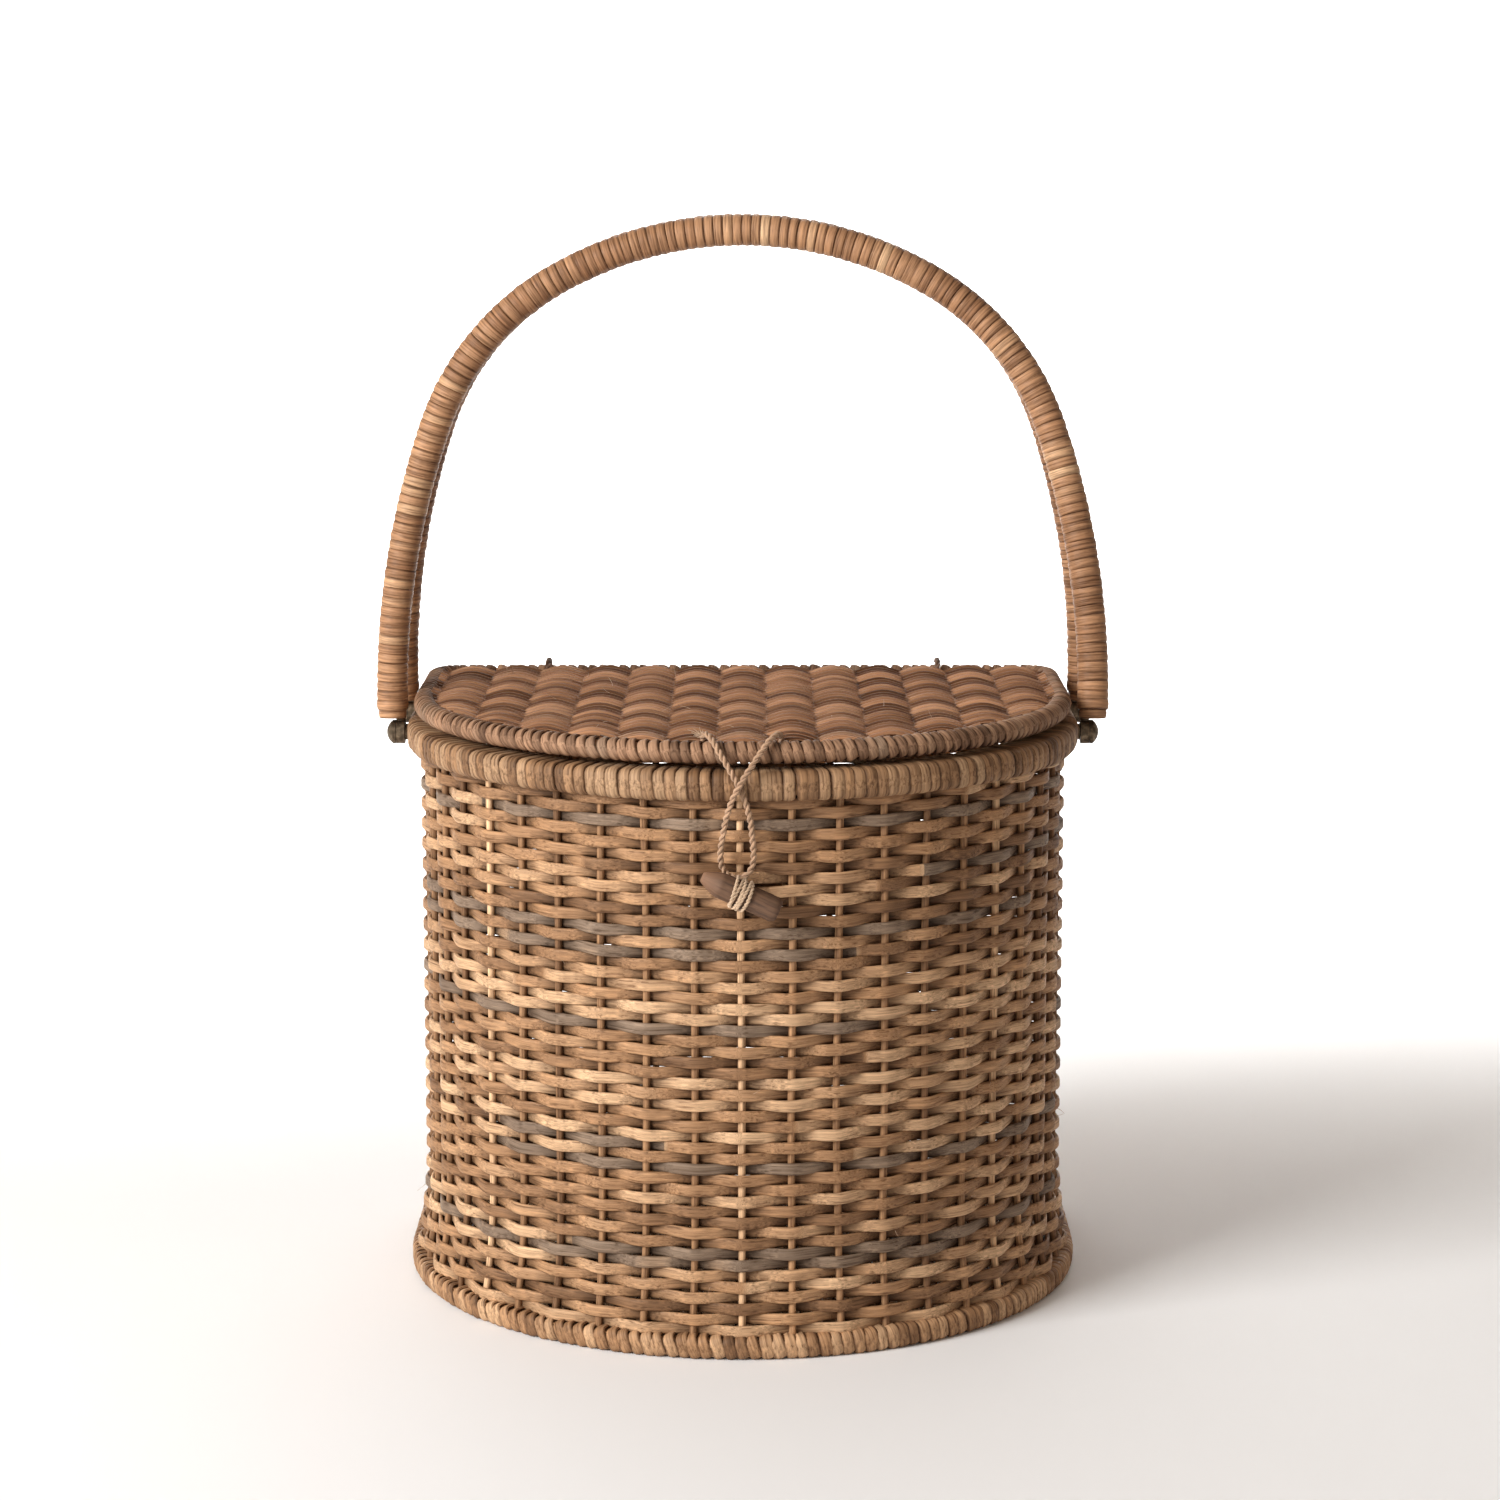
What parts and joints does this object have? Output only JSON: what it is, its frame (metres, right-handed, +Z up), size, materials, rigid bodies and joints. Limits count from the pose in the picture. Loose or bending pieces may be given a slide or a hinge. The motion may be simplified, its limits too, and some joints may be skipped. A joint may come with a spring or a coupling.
{
  "type": "lidded wicker basket",
  "caption": "Woven cane basket with a D-shaped plan, a hinged woven lid, two bound hoop handles that fold to front and back, and a twine loop and wooden toggle closure",
  "frame": {"origin": "centre of the bounding box, on the surface that the basket stands on", "axes": "+Z up, the curved front with the closure faces -Y, the flat hinged back faces +Y"},
  "size_m": [0.3614, 0.272, 0.5198],
  "materials": {
    "weave": "split cane, natural, semi-matt",
    "stakes": "round cane, natural, matt",
    "base": "split cane, natural, matt",
    "hoops": "round and flat cane core, matt",
    "body_binding": "flat cane binding, semi-matt",
    "lid_cane": "weathered flat cane, matt",
    "handle_binding": "flat cane binding, satin",
    "fittings": "aged dark brass",
    "twine": "two-ply plant fibre twine",
    "peg": "whittled wood, bare"
  },
  "bodies": {
    "basket": {"wall_stakes": "stakes", "wall_weave": "weave", "base_sticks": "stakes", "base_weave": "base", "foot_hoop": "hoops", "foot_binding": "body_binding", "rim_outer_hoop": "hoops", "rim_inner_hoop": "hoops", "rim_binding": "body_binding", "front_pivot_pin_left": "fittings", "front_pivot_pin_right": "fittings", "back_pivot_pin_left": "fittings", "back_pivot_pin_right": "fittings", "pivot_washers": "fittings", "toggle_tie": "twine", "hinge_ring_left": "twine", "hinge_ring_right": "twine"},
    "lid": {"lid_hoop": "hoops", "lid_binding": "lid_cane", "lid_ribs": "stakes", "lid_weave": "lid_cane", "closure_loop": "twine"},
    "front_handle": {"front_handle_core": "hoops", "front_handle_binding": "handle_binding", "front_handle_eye_left": "fittings", "front_handle_eye_right": "fittings"},
    "back_handle": {"back_handle_core": "hoops", "back_handle_binding": "handle_binding", "back_handle_eye_left": "fittings", "back_handle_eye_right": "fittings"},
    "toggle": {"toggle_peg": "peg", "toggle_lashing": "twine"}
  },
  "joints": [
    {"name": "lid_hinge", "type": "hinge", "parent": "basket", "child": "lid", "pos_m": [0, 0.12395, 0.28375], "axis": [-1, 0, 0], "range_deg": [0, 38]},
    {"name": "front_handle_pivot", "type": "hinge", "parent": "basket", "child": "front_handle", "pos_m": [0, 0.0436, 0.2674], "axis": [1, 0, 0], "range_deg": [0, 140]},
    {"name": "back_handle_pivot", "type": "hinge", "parent": "basket", "child": "back_handle", "pos_m": [0, 0.1076, 0.2674], "axis": [-1, 0, 0], "range_deg": [0, 170]},
    {"name": "toggle_swivel", "type": "hinge", "parent": "basket", "child": "toggle", "pos_m": [-0.0008, -0.1288, 0.2219], "axis": [0, 1, 0], "range_deg": [-65, 65]}
  ]
}
